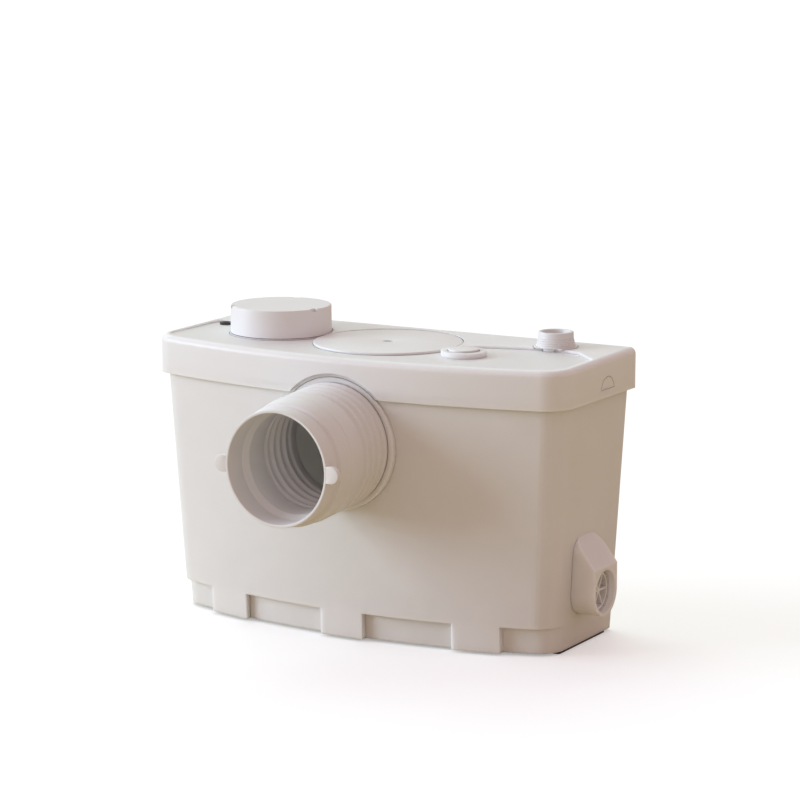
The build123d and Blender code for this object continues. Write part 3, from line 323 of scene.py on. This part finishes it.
looks = {
    "shell_abs": dict(light=(0.815, 0.808, 0.801), dark=(0.8, 0.793, 0.785), rough=0.42, relief=0.12,
                      through=1),
    "cover_abs": dict(light=(0.82, 0.812, 0.805), dark=(0.805, 0.797, 0.79), rough=0.42, relief=0.12),
    "sleeve_rubber": dict(light=(0.79, 0.775, 0.76), dark=(0.77, 0.755, 0.74), rough=0.5, fine=1200),
    "nozzle_abs": dict(light=(0.77, 0.757, 0.742), dark=(0.755, 0.742, 0.728), rough=0.4),
    "seal_rubber": dict(light=(0.035, 0.034, 0.033), dark=(0.022, 0.022, 0.022), rough=0.62, fine=900),
    "foot_rubber": dict(light=(0.06, 0.058, 0.055), dark=(0.04, 0.039, 0.038), rough=0.75, fine=700,
                        relief=0.4),
    "pipe_pvc": dict(light=(0.42, 0.43, 0.44), dark=(0.38, 0.39, 0.40), rough=0.35),
    "glass_filled": dict(light=(0.045, 0.045, 0.047), dark=(0.032, 0.032, 0.034), rough=0.5, fine=1100,
                         relief=0.4),
    "valve_pvc": dict(light=(0.30, 0.31, 0.33), dark=(0.27, 0.28, 0.30), rough=0.38),
    "stainless": dict(light=(0.58, 0.57, 0.55), dark=(0.52, 0.51, 0.49), rough=0.3, metal=1,
                      stretch=(1, 1, 14), fine=900, relief=0.25),
    "shaft_steel": dict(light=(0.50, 0.50, 0.50), dark=(0.45, 0.45, 0.45), rough=0.22, metal=1,
                        stretch=(1, 1, 20)),
    "bearing_steel": dict(light=(0.54, 0.54, 0.54), dark=(0.48, 0.48, 0.48), rough=0.18, metal=1),
    "capsule_metal": dict(light=(0.50, 0.50, 0.49), dark=(0.45, 0.45, 0.44), rough=0.38, metal=1, fine=1500,
                          relief=0.3),
    "lamination": dict(light=(0.33, 0.33, 0.34), dark=(0.22, 0.22, 0.23), rough=0.45, metal=1,
                       stretch=(0.05, 0.05, 1), fine=2400, relief=0.8),
    "copper_wire": dict(light=(0.60, 0.24, 0.11), dark=(0.45, 0.16, 0.07), rough=0.32, metal=1,
                        stretch=(0.2, 0.2, 1), fine=1300, relief=0.8),
    "box_plastic": dict(light=(0.55, 0.56, 0.56), dark=(0.51, 0.52, 0.52), rough=0.45),
    "diaphragm_rubber": dict(light=(0.05, 0.05, 0.05), dark=(0.035, 0.035, 0.035), rough=0.6),
    "capacitor_can": dict(light=(0.66, 0.66, 0.65), dark=(0.60, 0.60, 0.59), rough=0.35),
    "terminal_plastic": dict(light=(0.62, 0.60, 0.54), dark=(0.56, 0.54, 0.48), rough=0.45),
    "charcoal": dict(light=(0.028, 0.027, 0.026), dark=(0.012, 0.012, 0.012), rough=0.85, fine=420, broad=300,
                     relief=1.0, reliefDepth=0.0012),
}
materials = {name: surface(name, look) for name, look in looks.items()}
bodyNodes = frame["record"]["behaviour"]["bodies"]
bodyOf = {node: body for body, nodes in bodyNodes.items() for node in nodes}
slotOf = {node: piece.data.materials[0].name.split(".")[0] for node, piece in frame["nodes"].items()}
for node, piece in frame["nodes"].items():
    piece.data.materials.clear()
    piece.data.materials.append(materials[slotOf[node]])
print("materials ready")


# Inlet sleeve

# Depths are measured forwards from y = 0. Each rib goes through its steps: a share of the pitch
# towards the tank, and a share of the rib's depth.
sleeve = dict(reach=272, seat=179, end=165, level=188.5, drop=8, drift=-5, straight=20, mouth=53.9, wall=2.8,
              band=19, bandSlope=1.2, cuffLength=17, cuffStep=3.1, cuffEdge=0.9, cuffEdgeSlope=0.7,
              barrel=58.7, ribStart=219, ribs=4, pitch=9.5, ribDepth=2.4,
              ribSteps=((0, 0), (0.2, 1), (0.5, 1), (0.7, 0)),
              seatEdge=2, seatRadius=57.4, seatBarrel=58, neck=54.5, lipSetback=30, lipTaper=7, lip=48.1,
              lipEnd=3, lipFoot=1.5, innerStart=217, innerGain=0.5, innerDepth=3,
              innerSteps=((0.2, 0), (0.32, 1), (0.5, 1), (0.62, 0)), tailEdge=2, tailFoot=4, tailNarrow=1.5,
              round=0.9, arcSteps=3, columns=160)
ear = dict(reach=12, half=8, thick=5, sunk=1, edge=0.9, edgeSteps=3, tipPoints=25, rootPoints=9)


def sleeveCentre(depth):
    # The sleeve sags and drifts on its way to the mouth, whose last stretch is straight
    share = (depth - sleeve["seat"]) / (sleeve["reach"] - sleeve["straight"] - sleeve["seat"])
    share = np.clip(share, 0, 1)
    return sleeve["drift"] * share, sleeve["level"] - sleeve["drop"] * share


def ribRun(start, steps, peak, depth):
    # Ribs from the barrel towards the tank, one after another
    return [(start - (i + share) * sleeve["pitch"], peak - part * depth)
            for i in range(sleeve["ribs"]) for share, part in steps]


def sleeveShell():
    s = sleeve
    mouth, seat, end = s["reach"], s["seat"], s["end"]
    band = mouth - s["band"]
    cuff = band - s["cuffLength"]
    lip = mouth - s["lipSetback"]
    bore = s["mouth"] - s["wall"]
    wide = bore + s["innerGain"]
    narrow = bore - s["tailNarrow"]
    outer = [(mouth, s["mouth"]), (band, s["mouth"]), (band - s["bandSlope"], s["mouth"] + s["cuffStep"]),
             (cuff, s["barrel"] - s["cuffEdge"]), (cuff - s["cuffEdgeSlope"], s["barrel"])]
    outer += ribRun(s["ribStart"], s["ribSteps"], s["barrel"], s["ribDepth"])
    outer += [(seat + s["seatEdge"], s["seatBarrel"]), (seat, s["seatRadius"]), (seat, s["neck"]),
              (end, s["neck"])]
    inner = [(mouth, bore), (lip + s["lipTaper"], bore), (lip, s["lip"]),
             (s["innerStart"] + s["lipEnd"], s["lip"]), (s["innerStart"] + s["lipFoot"], wide)]
    inner += ribRun(s["innerStart"], s["innerSteps"], wide, s["innerDepth"])
    inner += [(seat - s["tailEdge"], wide), (seat - s["tailFoot"], narrow), (end, narrow)]
    loop = roundedLoop(outer + inner[::-1], s["round"], s["arcSteps"])
    depth, turn = np.meshgrid(loop[:, 0], evenTurns(s["columns"]), indexing="ij")
    radius = np.repeat(loop[:, 1:2], s["columns"], axis=1)
    x, z = sleeveCentre(depth)
    points = np.stack([x + radius * np.cos(turn), -depth, z + radius * np.sin(turn)], -1).reshape(-1, 3)
    return outward(points, gridFaces(len(loop), s["columns"], True), np.zeros((0, 3), int))


def earShell(side):
    # Half-round pull tab that grows out of the mouth's rim
    half = ear["half"]
    reach = sleeve["mouth"] + ear["reach"] - half
    root = sleeve["mouth"] - ear["sunk"]
    angle = np.linspace(-math.pi / 2, math.pi / 2, ear["tipPoints"])
    tip = np.column_stack([reach + half * np.cos(angle), half * np.sin(angle)])
    back = math.asin(half / root)
    angle = np.linspace(back, -back, ear["rootPoints"])
    outline = np.vstack([tip, np.column_stack([root * np.cos(angle), root * np.sin(angle)])])
    outline[:, 0] *= side
    points, quads, triangles = slabShell(outline, 0, ear["thick"], ear["edge"], ear["edgeSteps"])
    x, z = sleeveCentre(sleeve["reach"])
    points = np.column_stack([points[:, 0] + x, points[:, 2] - sleeve["reach"], points[:, 1] + z])
    return outward(points, quads, triangles)


place("toilet_sleeve", meshFrom("toilet_sleeve", joined([sleeveShell(), earShell(-1), earShell(1)])),
      "unit", "sleeve_rubber", ["inlet_sleeve"])
print("sleeve built")


# Threaded outlet nozzle

nozzle = dict(x=153.3, y=-32, radius=16.7, root=18.6, tailRadius=16, bore=12.7, top=286, tail=249, seat=270.3,
              shoulder=1, shoulderLow=1, shoulderHigh=0.8, rim=0.8, rimEdge=0.25, boreEdge=0.7, columns=144)
thread = dict(low=273, high=281.6, pitch=2.1, depth=0.55, sharpness=1.3, fade=0.8, rowStep=0.2, rowsUnder=0.5,
              rowsOver=0.6, bandGap=1, skin=0.01)
flange = dict(radius=20.8, thick=2, flat=15.5, edge=0.5, sunk=1, round=0.3, arcSteps=2, least=1e-3)


def nozzleStem():
    n, t = nozzle, thread
    top = n["top"]
    base = n["seat"] + flange["thick"]
    end = t["high"] + t["rowsOver"]
    taper = (n["root"] - n["radius"]) / (end - base)
    outer = [(n["tailRadius"], n["tail"]), (n["tailRadius"], base - n["shoulderLow"]),
             (n["root"] - n["shoulder"], base - n["shoulderHigh"])]
    outer += [(n["root"] - taper * max(z - base, 0), z)
              for z in np.arange(base - t["rowsUnder"], end, t["rowStep"])]
    outer += [(n["radius"], t["high"] + t["bandGap"]), (n["radius"], top - n["rim"]),
              (n["radius"] - n["rimEdge"], top - n["rimEdge"]), (n["radius"] - n["rim"], top)]
    inner = [(n["bore"] + n["boreEdge"], top), (n["bore"], top - n["boreEdge"]), (n["bore"], n["tail"])]

    def helix(radius, turn, height):
        # The groove's depth is a wave of the height less a share of the turn, and fades at both ends
        phase = height / t["pitch"] - turn / (2 * math.pi)
        cut = (0.5 - 0.5 * np.cos(2 * math.pi * phase)) ** t["sharpness"] * t["depth"]
        above = np.clip((height - t["low"]) / t["fade"], 0, 1)
        below = np.clip((t["high"] - height) / t["fade"], 0, 1)
        return radius - np.where(radius > n["radius"] - t["skin"], cut * (above * below), 0), height

    return turnedShell(outer + inner, evenTurns(n["columns"]), (n["x"], n["y"]), helix)


def nozzleFlange():
    f = flange
    low = nozzle["seat"]
    high = low + f["thick"]
    root = nozzle["tailRadius"] - f["sunk"]
    profile = [(root, low), (f["radius"] - f["edge"], low), (f["radius"], low + f["edge"]),
               (f["radius"], high - f["edge"]), (f["radius"] - f["edge"], high), (root, high)]

    def flatFront(radius, turn, height):
        # The flange's front edge is cut straight
        front = np.maximum(-np.sin(turn), f["least"])
        inset = f["radius"] - radius
        return np.minimum(radius, np.maximum((f["flat"] - inset) / front, root)), height

    return turnedShell(roundedLoop(profile, f["round"], f["arcSteps"]), evenTurns(nozzle["columns"]),
                       (nozzle["x"], nozzle["y"]), flatFront)


place("outlet_thread", meshFrom("outlet_thread", joined([nozzleStem(), nozzleFlange()])),
      "unit", "nozzle_abs", ["outlet_nozzle"], sharp=50)
print("nozzle built")


# Vent cap

ventCap = dict(x=-123, y=-75, radius=48.7, low=270, top=296.7, wall=2.4, round=1.3, arcSteps=6, draft=0.25,
               skirt=0.6, turnStep=2.5)
# Angles are degrees: where the first notch is, the gap that it leaves in the even turns, the finer
# turns at its walls and how far its floor's turns stay off them
notch = dict(count=3, start=103.5, half=3.25, deep=2.6, reach=3.4, before=0.4, behind=0.2, over=1.2, fall=0.4,
             rim=0.5, wall=0.25, clear=1.2, wallTurns=(-0.5, -0.25, 0, 0.25, 0.5), floorInset=1, floorTurns=5)


def notchMiddles():
    return [notch["start"] + i * 360 / notch["count"] for i in range(notch["count"])]


def ventCapTurns():
    # Even turns with finer ones at each notch
    half = math.degrees(notch["half"] / ventCap["radius"])
    turns = list(np.arange(0, 360, ventCap["turnStep"]))
    for middle in notchMiddles():
        turns = [a for a in turns if abs((a - middle + 180) % 360 - 180) > half + notch["clear"]]
        for edge in (-half, half):
            turns += [(middle + edge + d) % 360 for d in notch["wallTurns"]]
        reach = half - notch["floorInset"]
        turns += [(middle + d) % 360 for d in np.linspace(-reach, reach, notch["floorTurns"])]
    return np.radians(np.sort(np.array(turns)))


def ventCapShell():
    v = ventCap
    r, top, low = v["radius"], v["top"], v["low"]
    ledge = r - notch["reach"]
    skirt = r + v["draft"]
    inside = r - v["wall"]
    under = top - v["wall"]
    profile = [(0, top), (ledge - notch["before"], top), (ledge + notch["behind"], top), (r, top),
               (skirt, low + v["skirt"]), (skirt, low), (inside, low), (inside, under), (0, under)]

    def notched(radius, turn, height):
        # A notch lowers the top's edge to its floor between two radial walls
        outside = (radius > ledge) & (height > top - notch["deep"] - notch["over"])
        near = np.zeros_like(turn)
        for middle in notchMiddles():
            away = np.abs((turn - math.radians(middle) + math.pi) % (2 * math.pi) - math.pi) * r
            near = np.maximum(near, np.clip((notch["half"] - away) / notch["wall"] + 0.5, 0, 1))
        lowered = np.minimum(height, top - notch["deep"] - notch["fall"] * (radius > r - notch["rim"]))
        return radius, np.where(outside, height * (1 - near) + lowered * near, height)

    outline = roundedLine(profile, v["round"], v["arcSteps"])
    return turnedShell(outline, ventCapTurns(), (v["x"], v["y"]), notched)


place("vent_cover", meshFrom("vent_cover", ventCapShell()), "vent_lid", "cover_abs", ["vent_cap"], sharp=35)
print("vent cap built")


# Round inspection cover

roundCover = dict(x=0, y=-80, radius=71, low=268, top=271, spigot=56.2, spigotWall=2, spigotDeep=6,
                  dimple=4.6, dimpleDeep=1.6, hub=9, hubDeep=3, round=0.9, arcSteps=4, columns=192)


def coverShell():
    c = roundCover
    inside = c["spigot"] - c["spigotWall"]
    foot = c["low"] - c["spigotDeep"]
    dimple = c["top"] - c["dimpleDeep"]
    hub = c["low"] - c["hubDeep"]
    profile = [(0, dimple), (c["dimple"], dimple), (c["dimple"], c["top"]), (c["radius"], c["top"]),
               (c["radius"], c["low"]), (c["spigot"], c["low"]), (c["spigot"], foot), (inside, foot),
               (inside, c["low"]), (c["hub"], c["low"]), (c["hub"], hub), (0, hub)]
    outline = roundedLine(profile, c["round"], c["arcSteps"])
    return turnedShell(outline, evenTurns(c["columns"]), (c["x"], c["y"]))


place("round_cover", meshFrom("round_cover", coverShell()), "access_cover", "cover_abs", ["inspection_cover"])
print("cover built")


# Basin inlet plug

basinPlug = dict(x=96.5, y=-107, head=14.3, headOver=2, body=14.65, hollow=11.65, top=275.5, step=265.8,
                 low=251.8, groove=259.8, grooveHalf=1.5, grooveDeep=1.2, round=0.7, arcSteps=4, columns=128)


def basinPlugShell():
    b = basinPlug
    neck = b["step"] + b["headOver"]
    above = b["groove"] + b["grooveHalf"]
    below = b["groove"] - b["grooveHalf"]
    floor = b["body"] - b["grooveDeep"]
    profile = [(0, b["top"]), (b["head"], b["top"]), (b["head"], neck), (b["body"], neck),
               (b["body"], above), (floor, above), (floor, below), (b["body"], below),
               (b["body"], b["low"]), (b["hollow"], b["low"]), (b["hollow"], b["step"]), (0, b["step"])]
    outline = roundedLine(profile, b["round"], b["arcSteps"])
    return turnedShell(outline, evenTurns(b["columns"]), (b["x"], b["y"]))


place("basin_stopper", meshFrom("basin_stopper", basinPlugShell()), "basin_plug", "cover_abs",
      ["basin_inlet_plug"])
print("basin plug built")


# Foot strips, out to just under the tank's side edges

foot = dict(inner=183, outer=201.9, front=-114, back=-19, height=2.5, corner=3, cornerPoints=6, edge=0.4,
            edgeSteps=3)


def footShell(side):
    # Rounded rectangle: a quarter turn about each corner's middle, one corner after another
    r = foot["corner"]
    left, right = foot["inner"] + r, foot["outer"] - r
    front, back = foot["front"] + r, foot["back"] - r
    outline = []
    for quarter, (x, y) in enumerate(((right, back), (left, back), (left, front), (right, front))):
        for a in np.linspace(quarter, quarter + 1, foot["cornerPoints"]) * math.pi / 2:
            outline.append((side * (x + r * math.cos(a)), y + r * math.sin(a)))
    return slabShell(outline, 0, foot["height"], foot["edge"], foot["edgeSteps"])


for node, side in (("foot_left", -1), ("foot_right", 1)):
    place(node + "_strip", meshFrom(node + "_strip", footShell(side)), bodyOf[node], slotOf[node], [node])
print("foot strips built")


# Nodes kept from the frame with rounded edges

edgeRounding = {"tank": 0.9, "lid": 0.7, "side_inlet_plug": 0.35}
for node, width in edgeRounding.items():
    softened(node, node + "_moulded", width)
print("moulded edges rounded")


# Floor, light and camera

stage = dict(floorHalf=40, floorSeen=(0.86, 0.86, 0.86), floorGlow=(0.33, 0.345, 0.35),
             floorLit=(0.6, 0.5, 0.3), floorRough=0.8, floorSpecular=0.1, background=(1, 1, 1),
             fill=(0.582, 0.457, 0.45))
# Each sun: the direction that it comes from, seen from above and over the floor, its width (all
# in degrees) and its light
suns = dict(key=(210, 12, 40, (2.03, 2.46, 2.91)), back=(140, 45, 60, (0.62, 0.96, 0.87)))


def addFloor():
    half = stage["floorHalf"]
    corners = [(-half, -half, 0), (half, -half, 0), (half, half, 0), (-half, half, 0)]
    mesh = bpy.data.meshes.new("floor")
    mesh.from_pydata(corners, [], [(0, 1, 2, 3)])
    material = bpy.data.materials.new("floor")
    material.use_nodes = True
    tree = material.node_tree
    # The camera sees a floor that is nearly white, and the light that it throws on the unit is warm
    seen = nodeAt(tree, "ShaderNodeLightPath").outputs["Is Camera Ray"]
    tone = mixed(tree, seen, (*stage["floorLit"], 1), (*stage["floorSeen"], 1))
    feed(tree, tree.nodes["Principled BSDF"], Base_Color=tone, Roughness=stage["floorRough"],
         Specular_IOR_Level=stage["floorSpecular"], Emission_Color=(*stage["floorGlow"], 1),
         Emission_Strength=seen)
    mesh.materials.append(material)
    floor = bpy.data.objects.new("floor", mesh)
    bpy.context.scene.collection.objects.link(floor)


def addSun(name, turn, rise, spread, light):
    lamp = bpy.data.lights.new(name, "SUN")
    lamp.energy = max(light)
    lamp.color = [value / max(light) for value in light]
    lamp.angle = math.radians(spread)
    sun = bpy.data.objects.new(name, lamp)
    turn, rise = math.radians(turn), math.radians(rise)
    source = Vector((math.cos(turn) * math.cos(rise), math.sin(turn) * math.cos(rise), math.sin(rise)))
    sun.rotation_euler = source.to_track_quat("Z", "Y").to_euler()
    bpy.context.scene.collection.objects.link(sun)


def addWorld():
    # The camera sees a white background, and the unit is lit by a dimmer and warmer one
    world = bpy.data.worlds.new("studio")
    bpy.context.scene.world = world
    world.use_nodes = True
    tree = world.node_tree
    fill = tree.nodes["Background"]
    seen = nodeAt(tree, "ShaderNodeBackground")
    choose = nodeAt(tree, "ShaderNodeMixShader")
    feed(tree, fill, Color=(*stage["fill"], 1))
    feed(tree, seen, Color=(*stage["background"], 1))
    ray = nodeAt(tree, "ShaderNodeLightPath").outputs["Is Camera Ray"]
    for socket, value in zip(choose.inputs, (ray, fill.outputs[0], seen.outputs[0])):
        tree.links.new(value, socket)
    feed(tree, tree.nodes["World Output"], Surface=choose.outputs[0])


addFloor()
for name, settings in suns.items():
    addSun(name, *settings)
addWorld()

view = dict(place=(1.3957, -2.3328, 0.7162), target=(0.00835, 0.054, 0.21533), lens=133.23, sensor=36,
            far=200)
camera = bpy.data.cameras.new("camera")
camera.lens = view["lens"]
camera.sensor_width = view["sensor"]
camera.clip_end = view["far"]
eye = bpy.data.objects.new("camera", camera)
eye.location = view["place"]
eye.rotation_euler = (Vector(view["target"]) - Vector(view["place"])).to_track_quat("-Z", "Y").to_euler()
bpy.context.scene.collection.objects.link(eye)
bpy.context.scene.camera = eye
bpy.context.scene.view_settings.view_transform = "Standard"
print("stage ready")

bpy.context.view_layer.update()
